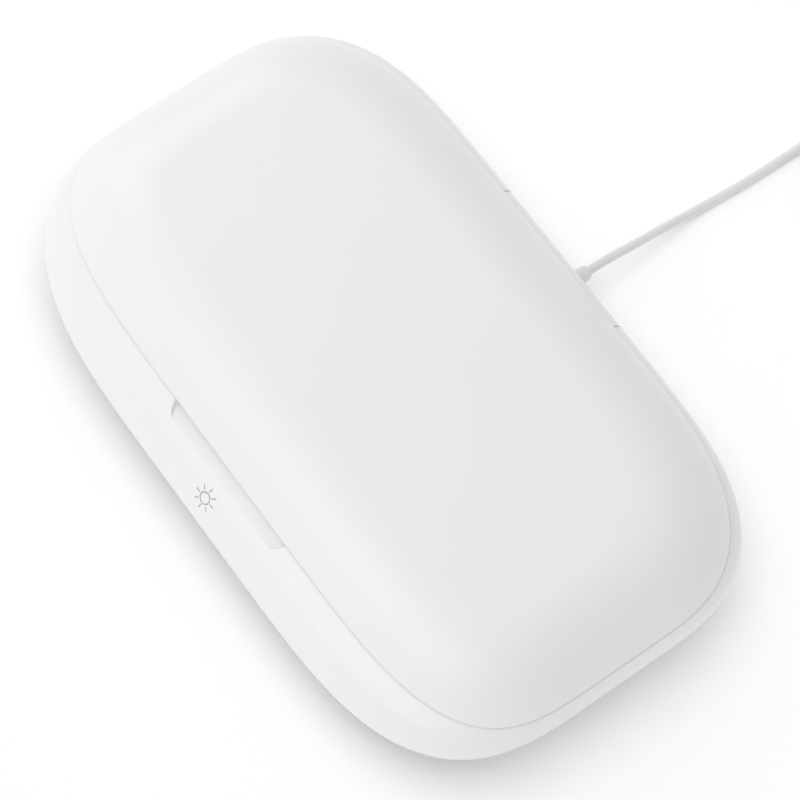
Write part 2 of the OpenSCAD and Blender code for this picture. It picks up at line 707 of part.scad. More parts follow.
module tray_screws() {
    color("darkgray")
    for (p = tray_screws_at) screw_up([p[0], p[1], floor_z - head_h], 6.2);
}

module phone_rack() {
    color("silver")
    union() {
        for (y = [-rack_leg_y, rack_leg_y])
            rod_x(-rack_l / 2, rack_l / 2, cy + y, rack_long_z, rack_wire_d);
        for (i = [0:rack_bars - 1])
            rod_y((i / (rack_bars - 1) - 0.5) * (rack_l - 2 * rack_end), cy - rack_w / 2,
                cy + rack_w / 2, rack_cross_z, rack_wire_d);
    }
}

// a lamp lies along X at height z; its caps sit in cradles that open up or down
module lamp_tube(z) {
    rod_x(-lamp_l / 2 + 2, lamp_l / 2 - 2, cy, z, tube_d);
}

module lamp_caps(z) {
    for (x = [-1, 1])
        difference() {
            rod_x(x * (lamp_l - cap_l) / 2 - cap_l / 2, x * (lamp_l - cap_l) / 2 + cap_l / 2,
                cy, z, cap_d);
            rod_x(-lamp_l / 2 + 2, lamp_l / 2 - 2, cy, z, tube_d + 2 * snug);
        }
}

module lamp_clips(z, low, high) {
    for (x = [-1, 1])
        difference() {
            box(x * (lamp_l - cap_l) / 2 - 3, x * (lamp_l - cap_l) / 2 + 3, cy - 6, cy + 6,
                low, high);
            rod_x(-lamp_l, lamp_l, cy, z, cap_d + 2 * snug);
        }
}

module base_lamp_tube() {
    color("lavender") lamp_tube(base_lamp_z);
}

module base_lamp_caps() {
    color("silver") lamp_caps(base_lamp_z);
}

module base_lamp_clips() {
    color("whitesmoke") lamp_clips(base_lamp_z, trough_z, base_lamp_z);
}

module base_magnets() {
    color("gray")
    for (p = magnets_at) rod([p[0], p[1], deck_z - magnet_t], magnet_d, magnet_t);
}

// ---------------------------------------------------------------- electronics in the base

module power_board() {
    color("seagreen")
    difference() {
        box(-board_l / 2, board_l / 2, power_y[0], power_y[1], board_z, board_top);
        for (p = board_screws_at) rod([p[0], p[1], 0], free_d, box_h);
    }
}

module power_parts() {
    color("dimgray") {
        box(-5, 5, power_y[1] - 6, power_y[1] + 1, board_top, board_top + 4.4);
        box(18, 26, power_y[1] - 6, power_y[1], board_top, board_top + 3.6);
        box(-22, -14, power_y[0] + 2, power_y[0] + 10, board_top, board_top + 1.6);
        box(10, 16, power_y[0] + 3, power_y[0] + 8, board_top, board_top + 1.2);
        for (y = [power_y[0] + 4, power_y[0] + 10])
            rod_x(-11, -1, y, board_top + 2.2, 4.4);
    }
}

module lamp_inverter() {
    color("seagreen")
    difference() {
        box(-board_l / 2, board_l / 2, inverter_y[0], inverter_y[1], board_z, board_top);
        for (p = board_screws_at) rod([p[0], p[1], 0], free_d, box_h);
    }
}

module inverter_parts() {
    color("dimgray") {
        box(-10, 10, inverter_y[0] + 5, inverter_y[1] - 1, board_top, board_top + 4.8);
        box(18, 28, inverter_y[0] + 9, inverter_y[1] - 2, board_top, board_top + 3.6);
        box(-30, -20, inverter_y[0] + 11, inverter_y[1] - 1, board_top, board_top + 3.6);
        for (x = [13, 29]) box(x - 3, x + 3, inverter_y[0], inverter_y[0] + 4,
            board_top, board_top + 2.8);
        for (x = [-1, 1]) translate([x * (board_l / 2 - 2), 0, 0])
            box(-2, 2, inverter_y[0] + 5, inverter_y[0] + 12, board_top, board_top + 3);
    }
}

module board_screws() {
    color("darkgray")
    for (p = board_screws_at) screw_down([p[0], p[1], board_top], 3.6);
}

module touch_pad() {
    color("goldenrod")
    at_touch() rod([0, touch_pad_y, touch_face], touch_pad_d, touch_pad_t);
}

module touch_board() {
    color("seagreen")
    at_touch()
        difference() {
            box(-13, 13, -5.5, 2.8, touch_face - touch_board_t, touch_face);
            for (x = [-1, 1]) rod([x * touch_screw_x, touch_screw_y, -20], free_d, 20);
        }
}

module touch_screws() {
    color("darkgray")
    at_touch()
        for (x = [-1, 1])
            screw_up([x * touch_screw_x, touch_screw_y, touch_face - touch_board_t - head_h],
                3.4);
}

module switch_body() {
    color("dimgray")
    difference() {
        union() {
            box(switch_x - 4, switch_x + 4, switch_y - 2.4, switch_y + 2.4, switch_z, deck_z);
            box(switch_x - 8.8, switch_x + 8.8, switch_y - 2.4, switch_y + 2.4,
                switch_z, switch_z + 2);
        }
        rod([switch_x, switch_y, switch_z + 1.6], collar_d + 0.2, collar_t + plunger_stroke + 0.3);
        rod([switch_x, switch_y, switch_z + 2], plunger_d + 2 * plunger_fit, 9);
        for (x = [-1, 1])
            rod([switch_x + x * switch_ear, switch_y, 0], free_d, box_h);
    }
}

module switch_screws() {
    color("darkgray")
    for (x = [-1, 1])
        screw_up([switch_x + x * switch_ear, switch_y, switch_z - head_h], 3.4);
}

module switch_plunger() {
    color("white")
    union() {
        rod([switch_x, switch_y, plunger_z], plunger_d, plunger_top - plunger_z);
        rod([switch_x, switch_y, plunger_z], collar_d, collar_t);
    }
}

module lead_plate() {
    color("gainsboro")
    translate([exit_x, relief_y[1] + snug, exit_z])
        rotate([-90, 0, 0])
            linear_extrude(plate_t)
                difference() {
                    translate([-9, -5]) square([18, 6]);
                    circle(d = relief_neck_d + 2 * snug);
                    translate([-relief_neck_d / 2 - snug, 0])
                        square([relief_neck_d + 2 * snug, 6]);
                    for (x = [-1, 1])
                        translate([x * plate_screw_x, exit_z - plate_screw_z])
                            circle(d = free_d);
                }
}

module plate_screws() {
    color("darkgray")
    for (x = [-1, 1])
        translate([exit_x + x * plate_screw_x, relief_y[1] + snug - head_h, plate_screw_z])
            rotate([-90, 0, 0]) screw_up([0, 0, 0], 4);
}

module hinge_pins() {
    color("silver")
    for (x = [-1, 1])
        rod_x(x * (pin_x + pin_l / 2) - pin_l / 2, x * (pin_x + pin_l / 2) + pin_l / 2,
            pivot_y, pivot_z, pin_d);
}

// ---------------------------------------------------------------- wires

module inner_lead() {
    color("whitesmoke") tube(inner_lead_path, cord_d, 8);
}

module base_lamp_leads() {
    color("white")
    for (x = [-1, 1])
        wire(concat([for (d = [snug, 2, (trough_l - lamp_l) / 2 + 3])
            [x * (lamp_l / 2 + d), cy, base_lamp_z]],
            [for (p = lamp_lead_bends) [x * p[0], p[1], p[2]]],
            [[x * (board_l / 2 + snug), inverter_y[0] + 8.5, 8.6]]));
}

module control_leads() {
    color("white") {
        wire(concat([[4, touch_y + 5, touch_z - 3.6]], touch_lead_bends,
            [[13, inverter_y[0] - snug, 8.6]]));
        wire(concat([[switch_x, switch_y + 2.4 + snug, switch_z + 3],
            [switch_x, switch_y + 3.6, switch_z + 3]], switch_lead_bends,
            [[29, inverter_y[0] - snug, 8.6]]));
    }
}

module hinge_leads() {
    color("white") wire(hinge_lead_path);
}

module lid_leads() {
    plug_x = charger_l / 2 - 0.5;
    color("white") {
        wire(concat(coil_lead_path, [[charger_x - plug_x - snug, 12, charger_wire_z]]));
        wire(concat([[lamp_l / 2 + snug, cy, lid_lamp_z], [lamp_l / 2 + 2, cy, lid_lamp_z + 0.2]],
            right_lead_bends, [[charger_x + plug_x + snug, -1, charger_wire_z]]));
        wire(concat([[-lamp_l / 2 - snug, cy, lid_lamp_z],
            [-lamp_l / 2 - 2, cy, lid_lamp_z + 0.2]],
            left_lead_bends, [[charger_x - plug_x - snug, -4, charger_wire_z]]));
    }
}

// ---------------------------------------------------------------- lid

lid_angles = [for (t = [0:7]) lid_lean + (90 - lid_lean) * t / 7];

module lid_form(s) {
    loft([for (t = lid_angles) lid_ring(t, s)]);
}

module lid_wall() {
    loft(concat(
        [for (k = [len(lid_angles) - 1:-1:0]) lid_ring(lid_angles[k], wall)],
        [for (t = lid_angles) lid_ring(t, 0)]));
}

module lid_bosses() {
    for (p = liner_screws_at) rod([p[0], p[1], flange_top], boss_d, box_h);
    for (p = bracket_screws_at) rod([p[0], p[1], flange_top + bracket_t], boss_d, box_h);
    for (x = [-ear_x, ear_x]) rod([x, cy, holder_z + holder_t], boss_d, box_h);
    for (x = charger_screws_x) rod([x, cy, charger_z + board_t], boss_d, box_h);
}

module lid_cover() {
    color("white")
    difference() {
        union() {
            lid_wall();
            intersection() {
                lid_form(wall / 2);
                union() lid_bosses();
            }
        }
        for (p = liner_screws_at) rod([p[0], p[1], 0], screw_d, flange_top + 4.9);
        for (p = bracket_screws_at) rod([p[0], p[1], 0], screw_d, flange_top + 5.4);
        for (x = concat([-ear_x, ear_x], charger_screws_x))
            rod([x, cy, 0], screw_d, roof_z + 0.5);
    }
}

module lid_liner() {
    color("lightgray")
    difference() {
        union() {
            difference() {
                union() {
                    lid_slab(flange_inset, flange_z, flange_top);
                    slab(dome_l + 2 * tray_t, dome_w + 2 * tray_t, dome_r + tray_t,
                        flange_z + eps, dome_top, cy);
                    for (p = magnets_at)
                        rod([p[0], p[1], flange_z + eps], magnet_d + 2 * magnet_wall,
                            flange_t + magnet_t);
                }
                slab(dome_l, dome_w, dome_r, flange_z - 1, dome_z, cy);
            }
            for (x = [-1, 1], y = [-guard_y, guard_y])
                translate([x * (dome_l / 2 + 0.5 - post_w / 2), cy + y, 0])
                    box(-post_w / 2, post_w / 2, -post_w / 2, post_w / 2,
                        guard_long_z - 1.7, dome_z + eps);
        }
        for (y = [-guard_y, guard_y])
            rod_x(-guard_end, guard_end, cy + y, guard_long_z, guard_wire_d);
        for (x = [-1, 1]) rod([x * wire_hole_x, cy, flange_z], wire_hole_d, box_h);
        for (p = liner_screws_at) rod([p[0], p[1], 0], free_d, box_h);
        for (p = bracket_screws_at) rod([p[0], p[1], 0], head_d + 0.5, box_h);
        for (p = magnets_at) rod([p[0], p[1], flange_top], magnet_d, box_h);
        box(-notch_l / 2, notch_l / 2, block_y - 0.4, base_w, 0, box_h);
    }
}

module liner_screws() {
    color("darkgray")
    for (p = liner_screws_at) screw_up([p[0], p[1], flange_z - head_h], 6);
}

module light_seal() {
    color("silver")
    difference() {
        slab(well_l + 2 * (seal_gap + seal_w), well_w + 2 * (seal_gap + seal_w),
            well_r + seal_gap + seal_w, flange_z - seal_t, flange_z, cy);
        slab(well_l + 2 * seal_gap, well_w + 2 * seal_gap, well_r + seal_gap,
            0, box_h, cy);
    }
}

module lid_lamp_tube() {
    color("lavender") lamp_tube(lid_lamp_z);
}

module lid_lamp_caps() {
    color("silver") lamp_caps(lid_lamp_z);
}

module lid_lamp_clips() {
    color("whitesmoke") lamp_clips(lid_lamp_z, lid_lamp_z, dome_z);
}

module lid_lamp_guard() {
    color("silver")
    union() {
        for (y = [-guard_y, guard_y])
            rod_x(-guard_end, guard_end, cy + y, guard_long_z, guard_wire_d);
        for (i = [0:guard_bars - 1])
            rod_y((i - (guard_bars - 1) / 2) * guard_pitch, cy - guard_y - 0.6,
                cy + guard_y + 0.6, guard_z, guard_wire_d);
    }
}

module lid_magnets() {
    color("gray")
    for (p = magnets_at) rod([p[0], p[1], flange_top], magnet_d, magnet_t);
}

module hinge_block_section() {
    polygon(concat(
        [[pivot_y, pivot_z - barrel_d / 2 + eps], [pivot_y + barrel_d / 2 - eps, pivot_z]],
        [for (k = [1:5]) let (z = pivot_z + k * (seam_z - pivot_z) / 5) [rear_y(z), z]],
        [[lid_y1, lid_z]],
        [for (z = [lid_z, flange_top, flange_top + bracket_t]) [lid_y1 - lid_inside(z), z]],
        [[bracket_y, flange_top + bracket_t], [bracket_y, flange_top], [block_y, flange_top],
            [block_y, pivot_z]]));
    translate([pivot_y, pivot_z]) circle(d = barrel_d);
}

module hinge_block() {
    color("white")
    difference() {
        translate([-hinge_l / 2, 0, 0])
            rotate([90, 0, 90])
                linear_extrude(hinge_l) hinge_block_section();
        for (x = [-1, 1])
            rod_x(x * hinge_l / 2 - 8, x * hinge_l / 2 + 8, pivot_y, pivot_z,
                pin_d + 2 * pin_fit);
        box(-lead_gap, lead_gap, block_y - 1, pivot_y + 1, notch_z, lead_gap_top);
        box(-lead_gap, lead_gap, block_y - 1, pivot_y + barrel_d, notch_z, lead_gap_z);
        box(-lead_gap, lead_gap, bracket_y + 2, lid_y1 - 1.6, notch_z, box_h);
        for (p = bracket_screws_at) rod([p[0], p[1], 0], free_d, box_h);
    }
}

module hinge_screws() {
    color("darkgray")
    for (p = bracket_screws_at) screw_up([p[0], p[1], flange_top - head_h], 5);
}

module charging_coil() {
    color("sandybrown")
    translate([0, cy, coil_z])
        linear_extrude(coil_t)
            difference() {
                circle(d = coil_d);
                circle(d = coil_bore);
            }
}

module coil_shield() {
    color("dimgray")
    box(-coil_d / 2, coil_d / 2, cy - coil_d / 2, cy + coil_d / 2, shield_z, coil_z);
}

module coil_holder() {
    color("whitesmoke")
    translate([0, cy, holder_z])
        linear_extrude(holder_t)
            difference() {
                union() {
                    circle(d = holder_d);
                    square([2 * ear_x, 8], center = true);
                    for (x = [-ear_x, ear_x]) translate([x, 0]) circle(4);
                }
                for (x = [-ear_x, ear_x]) translate([x, 0]) circle(d = free_d);
            }
}

module charger_screws() {
    color("darkgray") {
        for (x = [-ear_x, ear_x]) screw_up([x, cy, holder_z - head_h], 3.6);
        for (x = charger_screws_x) screw_up([x, cy, charger_z - head_h], 3.6);
    }
}

module charger_board() {
    color("seagreen")
    difference() {
        box(charger_x - charger_l / 2, charger_x + charger_l / 2, cy - charger_w / 2,
            cy + charger_w / 2, charger_z, charger_z + board_t);
        for (x = charger_screws_x) rod([x, cy, 0], free_d, box_h);
    }
}

module charger_parts() {
    top = charger_z + board_t;
    color("dimgray") {
        box(charger_x - 17.5, charger_x - 13, 9, 15, top, top + 1.9);
        box(charger_x - 17.5, charger_x - 13, -7, -1, top, top + 1.9);
        box(charger_x + 13, charger_x + 17.5, -4, 1.5, top, top + 1.9);
        box(charger_x - 8, charger_x, -6, 2, top, top + 1.2);
        box(charger_x + 2, charger_x + 8, 7, 13, top, top + 1.4);
        for (x = [-6, -1]) box(charger_x + x, charger_x + x + 3, 9, 14, top, top + 1.7);
    }
}

// ---------------------------------------------------------------- lead

module strain_relief() {
    body_y = exit_y + 2.5;
    color("whitesmoke")
    translate([exit_x, 0, exit_z])
        rotate([-90, 0, 0])
            rotate_extrude()
                polygon([[0, relief_y[0]], [relief_flange_d / 2, relief_y[0]],
                    [relief_flange_d / 2, relief_y[1]], [relief_neck_d / 2, relief_y[1]],
                    [relief_neck_d / 2, relief_y[2]], [relief_d / 2, relief_y[2]],
                    [relief_d / 2, body_y], [relief_tip_d / 2, cord_y0 - 0.5],
                    [relief_tip_d / 2 - 0.4, cord_y0], [0, cord_y0]]);
}

module cord_run() {
    color("white") tube(run_path, cord_d, 8);
}

module cord_coil() {
    color("white") tube(coil_path, cord_d, 6);
}

module cord_tail() {
    color("white") tube(tail_path, cord_d, 8);
}

module cord_tie() {
    low = coil_entry[2] - cord_d / 2 - tie_gap - tie_t;
    high = coil_entry[2] + turn_pitch + cord_d / 2 + tie_gap + tie_t;
    inner = coil_r - turn_pitch * turns / 2 - cord_d / 2 - 2 * tie_gap - tie_t;
    outer = coil_r + cord_d / 2 + tie_gap + tie_t;
    color("gray")
    translate([coil_x + (inner + outer) / 2, coil_y + tie_w / 2, (low + high) / 2])
        rotate([90, 0, 0])
            linear_extrude(tie_w)
                difference() {
                    rounded(outer - inner, high - low, 2);
                    rounded(outer - inner - 2 * tie_t, high - low - 2 * tie_t, 2 - tie_t);
                }
}

module plug_grip() {
    color("white")
    translate([plug_at[0], plug_at[1], plug_z])
        rotate([90, 0, 90])
            linear_extrude(grip_l) rounded(grip_w, grip_h, 2.4);
}

module plug_shell() {
    color("silver")
    translate([plug_at[0] + grip_l, plug_at[1], plug_z])
        rotate([90, 0, 90])
            linear_extrude(shell_l)
                difference() {
                    rounded(shell_w, shell_h, shell_r);
                    rounded(shell_w - 2 * shell_t, shell_h - 2 * shell_t, shell_r - shell_t);
                }
}

module plug_tongue() {
    color("ghostwhite")
    box(plug_at[0] + grip_l, plug_at[0] + grip_l + shell_l - 1, plug_at[1] - tongue_w / 2,
        plug_at[1] + tongue_w / 2, plug_z + 0.1, plug_z + shell_h / 2 - shell_t);
}

// ---------------------------------------------------------------- nodes

base_shell();
bottom_cover();
rubber_feet();
cover_screws();
chamber_tray();
tray_screws();
phone_rack();
base_lamp_tube();
base_lamp_caps();
base_lamp_clips();
base_magnets();
power_board();
power_parts();
lamp_inverter();
inverter_parts();
board_screws();
touch_pad();
touch_board();
touch_screws();
switch_body();
switch_screws();
switch_plunger();
lead_plate();
plate_screws();
hinge_pins();
inner_lead();
base_lamp_leads();
control_leads();
hinge_leads();
lid_cover();
lid_liner();
liner_screws();
light_seal();
lid_lamp_tube();
lid_lamp_caps();
lid_lamp_clips();
lid_lamp_guard();
lid_magnets();
hinge_block();
hinge_screws();
charging_coil();
coil_shield();
coil_holder();
charger_screws();
charger_board();
charger_parts();
lid_leads();
strain_relief();
cord_run();
cord_coil();
cord_tail();
cord_tie();
plug_grip();
plug_shell();
plug_tongue();

echo(coil_self_gap = coil_self_gap);
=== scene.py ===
"""A white UV sanitizer box for phones on a white table, seen steeply from above.

The box's front is at -Y, and left and right are those of someone who stands before it.
The CAD frame gives every place. The two shells and the hinge block are drawn again here as
smooth surfaces with the same formulas, and the lead is one curve along the CAD route.
Only the finger slot's floor is flatter than the solid's, as the photo shows it.
All sizes are in millimetres and turned into metres where a mesh or a light is made.
"""
import json
import math

import bpy
from mathutils import Matrix, Vector


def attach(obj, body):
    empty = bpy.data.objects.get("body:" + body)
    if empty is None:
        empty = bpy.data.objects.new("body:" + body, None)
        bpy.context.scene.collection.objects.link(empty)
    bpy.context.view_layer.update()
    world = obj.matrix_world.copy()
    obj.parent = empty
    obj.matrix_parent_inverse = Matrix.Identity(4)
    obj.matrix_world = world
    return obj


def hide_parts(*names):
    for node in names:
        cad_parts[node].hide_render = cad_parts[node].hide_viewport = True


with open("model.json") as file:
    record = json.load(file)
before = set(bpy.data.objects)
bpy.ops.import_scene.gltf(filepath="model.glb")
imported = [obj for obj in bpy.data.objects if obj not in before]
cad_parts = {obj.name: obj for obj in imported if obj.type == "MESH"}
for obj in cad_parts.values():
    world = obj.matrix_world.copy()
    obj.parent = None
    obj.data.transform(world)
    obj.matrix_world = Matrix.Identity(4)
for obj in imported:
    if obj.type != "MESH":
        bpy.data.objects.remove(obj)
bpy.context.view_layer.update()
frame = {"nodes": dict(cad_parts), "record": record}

MM = 0.001

# ---------------------------------------------------------------- sizes, as in the CAD source

BASE_L, BASE_W, BOX_H = 215.0, 126.5, 44.0
SEAM_Z, BELT_FRONT_Z, BELT_SIDE_Z = 28.0, 11.8, 21.5
UNDERSIDE_INSET, BOTTOM_Z, WALL = 26.5, 1.5, 2.2
BASE_FRONT, BASE_BACK = (24.5, 0.31), (28.3, 0.20)     # corner radius, and power of the sides
LID_L, LID_W, LID_SHIFT, LID_ROLL, SEAM_GAP = 211.8, 111.0, 4.7, 24.0, 0.3
LID_FRONT, LID_BACK = (15.3, 0.30), (31.4, 0.19)
SHOULDER_ANGLE, LID_LEAN = math.radians(47.4), math.radians(34.0)
LID_Z = SEAM_Z + SEAM_GAP
LID_Y0, LID_Y1 = LID_SHIFT - LID_W / 2, LID_SHIFT + LID_W / 2

COVER_L, COVER_W, COVER_R, COVER_GAP = 153.0, 64.5, 16.0, 0.3
SLOT_L, SLOT_REACH, SLOT_WALL = 53.0, 4.8, 1.2
DECK_TOP = SEAM_Z - 0.3
HINGE_L, HINGE_GAP, BARREL_D = 51.0, 0.4, 4.4
PIVOT_Y, PIVOT_Z = LID_Y1 + 0.4, SEAM_Z - 4.7
NOTCH_Z = PIVOT_Z - BARREL_D / 2 - 0.6
BLOCK_Y, BRACKET_Y = LID_Y1 - 4.8, LID_Y1 - 14.0
BRACKET_T, FLANGE_TOP = 1.8, LID_Z + 0.7 + 1.4
BRACKET_TOP = FLANGE_TOP + BRACKET_T
LEAD_GAP = 6.0                   # the wires' gap reaches this far to each side of the middle
EXIT_X, EXIT_Z, RELIEF_D, RELIEF_L = 1.6, 10.0, 6.4, 12.0
TOUCH_ANGLE = math.radians(26.0)
SHOULDER_IN = (LID_Y0 + BASE_W / 2) / (1 - math.cos(SHOULDER_ANGLE))
SHOULDER_UP = (SEAM_Z - BELT_FRONT_Z) / math.sin(SHOULDER_ANGLE)

CORD_D, PLUG_Z = 2.6, 4.0
RUN_SHAPE = [                    # sideways, along, share of the exit's height, and lift
    (0, 0, 1, 0), (0, 2.6, 1, 0), (0.05, 5.6, 0.99, 0), (0.15, 9.6, 0.94, 0),
    (0.2, 13.6, 0.86, 0), (0.2, 17.6, 0.76, 0), (0.1, 23.6, 0.61, 0), (-0.1, 29.6, 0.41, 0),
    (-0.3, 34.6, 0.22, 0), (-0.4, 39.6, 0.07, 0), (-0.25, 44.6, 0.01, 0), (0.1, 49.6, 0, 0),
    (0.5, 56.6, 0, 0), (0.65, 62.6, 0, 0), (0.7, 68.6, 0, 0), (0.75, 74.6, 0, 0.1),
    (0.8, 80.6, 0, 0.4), (0.8, 86.6, 0, 0.8), (0.8, 90, 0, 1), (0.8, 92.2, 0, 1)]
TURNS, TURN_GAP, MEAN_R, RINGS_PER_TURN, CLIMB = 9.25, 0.45, 15.3, 24, 0.25
TAIL_SHAPE = [                   # along, and share of the way to the plug's height
    (0, 0), (1.4, 0), (3.4, 0.1), (6.4, 0.35), (9.4, 0.7), (12.4, 0.93), (15.4, 1), (18, 1)]

# ---------------------------------------------------------------- sizes of the smooth surfaces

QUARTER_STEPS, SHELL_RINGS = 48, 28
LID_EDGE = [(0.55, 0), (0.30, 0.04), (0.17, 0.14)]     # inset and rise of each ring at the seam
BASE_EDGE = [(-0.12, -0.06), (0.25, 0)]
LID_EDGE_TURN, BASE_EDGE_TURN = 0.012, 0.022           # angle left free for those rings
SLOT_FRONT, SLOT_CORNER, SLOT_SLANT = 3.6, 3.3, 1.4    # floor's reach and corners, sides' slant
SLOT_FLOOR, SLOT_FALL = 1.35, 0.21                     # depth at the lid's edge, and its slope
LID_INSIDE = [                   # just inside the lid's wall, at three heights
    (LID_Y1 - WALL - 0.3, LID_Z), (BLOCK_Y + 0.8, FLANGE_TOP), (BLOCK_Y - 0.7, BRACKET_TOP)]
OVERCUT, EPS = 1.0, 0.01         # how far a cut runs past what it cuts
EXIT_CUT_Y, EXIT_PLAY = 40.0, 0.05                     # the cut's start, and play of the relief
LEAD_GAP_STEPS = [               # the wires' gap in three steps: low y, high y and top
    (BLOCK_Y - OVERCUT, PIVOT_Y + 1, PIVOT_Z + 2.1),
    (BLOCK_Y - OVERCUT, PIVOT_Y + BARREL_D, PIVOT_Z - 0.3),
    (BRACKET_Y + 2, LID_Y1 - 1.6, BOX_H)]

# ---------------------------------------------------------------- plan curves and surfaces


def ease(u, power=2.5):
    """Draws the angles towards the axes, where the plan curve runs fastest."""
    return u ** power / (u ** power + (1 - u) ** power)


def bow(v, e):
    """Power that keeps the sign, which bows the plan's sides."""
    return math.copysign(abs(v) ** e, v) if abs(v) > 1e-12 else 0.0


def angles():
    return [math.pi / 2 * (q + ease(i / QUARTER_STEPS))
            for q in range(4) for i in range(QUARTER_STEPS)]


def plan(length, width, front, back, inset, shift):
    """Closed plan curve drawn in by inset, counter-clockwise from +X."""
    points = []
    for a in angles():
        r, e = back if a < math.pi else front
        r = r * r / (r + inset)
        c, s = math.cos(a), math.sin(a)
        points.append(((length / 2 - inset - r) * bow(c, e) + r * c,
                       (width / 2 - inset - r) * bow(s, e) + r * s + shift))
    return points


def base_plan(inset):
    return plan(BASE_L, BASE_W, BASE_FRONT, BASE_BACK, inset, 0)


def lid_plan(inset):
    return plan(LID_L, LID_W, LID_FRONT, LID_BACK, inset, LID_SHIFT)


def belt_heights():
    return [BELT_SIDE_Z + (BELT_FRONT_Z - BELT_SIDE_Z) * max(0.0, -math.sin(a)) ** 2
            for a in angles()]


def under_ring(p, inset):
    """Ring of the underside at angle p: 0 at the belt, a quarter turn at the bottom."""
    points = base_plan(inset + UNDERSIDE_INSET * (1 - math.cos(p)))
    return [(x, y, b - (b - BOTTOM_Z - inset) * math.sin(p))
            for (x, y), b in zip(points, belt_heights())]


def shoulder_ring(t, inset):
    """Ring of the shoulder at angle t: 0 at the belt, SHOULDER_ANGLE at the seam."""
    f = (1 - math.cos(t)) / (1 - math.cos(SHOULDER_ANGLE))
    g = math.sin(t) / math.sin(SHOULDER_ANGLE)
    return [(bx + (lx - bx) * f, by + (ly - by) * f, b + (SEAM_Z - b) * g)
            for (bx, by), (lx, ly), b in zip(base_plan(inset), lid_plan(inset), belt_heights())]


def lid_ring(t, inset):
    """Ring of the lid's roll at angle t: LID_LEAN at the seam, a quarter turn at the top."""
    run = LID_ROLL * (math.cos(LID_LEAN) - math.cos(t)) / math.cos(LID_LEAN)
    rise = (math.sin(t) - math.sin(LID_LEAN)) / (1 - math.sin(LID_LEAN))
    z = LID_Z + (BOX_H - inset - LID_Z) * rise
    return [(x, y, z) for x, y in lid_plan(inset + run)]


def rear_y(z):
    """Rear surface of the shoulder at height z, on the middle of the box."""
    t = math.asin(min(1.0, (z - BELT_SIDE_Z) / (SEAM_Z - BELT_SIDE_Z) * math.sin(SHOULDER_ANGLE)))
    f = (1 - math.cos(t)) / (1 - math.cos(SHOULDER_ANGLE))
    return BASE_W / 2 + (LID_Y1 - BASE_W / 2) * f


def underside_y(z):
    """Rear surface of the underside at height z, on the middle of the box."""
    drop = (BELT_SIDE_Z - z) / (BELT_SIDE_Z - BOTTOM_Z)
    return BASE_W / 2 - UNDERSIDE_INSET * (1 - math.sqrt(1 - drop * drop))


def steps(low, high, count):
    return [low + (high - low) * i / count for i in range(count + 1)]


# ---------------------------------------------------------------- mesh helpers


def mesh_object(name, points, faces):
    mesh = bpy.data.meshes.new(name)
    mesh.from_pydata([Vector(p) * MM for p in points], [], faces)
    mesh.update()
    obj = bpy.data.objects.new(name, mesh)
    bpy.context.scene.collection.objects.link(obj)
    return obj


def loft(name, rings):
    """Closed solid through rings that each run counter-clockwise, seen from above."""
    n = len(rings[0])
    points = [p for ring in rings for p in ring]
    faces = [list(range(n - 1, -1, -1))]
    for k in range(len(rings) - 1):
        for i in range(n):
            j = (i + 1) % n
            faces.append([k * n + i, k * n + j, (k + 1) * n + j, (k + 1) * n + i])
    last = (len(rings) - 1) * n
    faces.append([last + i for i in range(n)])
    return mesh_object(name, points, faces)


def prism(name, outline, low, high):
    return loft(name, [[(x, y, low) for x, y in outline], [(x, y, high) for x, y in outline]])


def rounded(length, width, radius, shift=0.0, corner_steps=16):
    """Rectangle with round corners, moved along Y by shift."""
    points = []
    for q, (sx, sy) in enumerate([(1, 1), (-1, 1), (-1, -1), (1, -1)]):
        for a in steps(q * math.pi / 2, (q + 1) * math.pi / 2, corner_steps):
            points.append((sx * (length / 2 - radius) + radius * math.cos(a),
                           sy * (width / 2 - radius) + radius * math.sin(a) + shift))
    return points


def box_solid(name, x0, x1, y0, y1, z0, z1):
    return prism(name, [(x0, y0), (x1, y0), (x1, y1), (x0, y1)], z0, z1)


def rod_y(name, x, y0, y1, z, radius, sides=48):
    """Round rod along Y."""
    turn = [2 * math.pi * i / sides for i in range(sides)]
    rings = [[(x + radius * math.cos(a), y, z - radius * math.sin(a)) for a in turn]
             for y in (y0, y1)]
    return loft(name, rings)


def combine(obj, other, operation):
    """Applies one exact boolean and removes the other solid."""
    modifier = obj.modifiers.new("cut", "BOOLEAN")
    modifier.operation = operation
    modifier.solver = "EXACT"
    modifier.object = other
    done = bpy.data.meshes.new_from_object(obj.evaluated_get(
        bpy.context.evaluated_depsgraph_get()))
    obj.modifiers.clear()
    obj.data = done
    bpy.data.objects.remove(other)


def smooth(obj, angle=30):
    obj.data.shade_smooth()
    obj.data.set_sharp_from_angle(angle=math.radians(angle))


def place(obj, body, slot, material, *nodes):
    """Gives a piece its material, its body and the CAD nodes that it stands for."""
    obj.data.materials.clear()
    obj.data.materials.append(material)
    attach(obj, body)
    if nodes:
        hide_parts(*nodes)


# ---------------------------------------------------------------- camera

FOCAL_PX, PHOTO_PX, SENSOR_MM = 3200.0, 800.0, 36.0
AZIMUTH, ELEVATION = math.radians(54.56), math.radians(66.64)
LOOK_FROM = Vector((3.74, -2.43, 52.3))          # a point on the lid's axis
LOOK_OFFSET = Vector((-4.56, 13.03, -854.34))    # where the camera sees that point


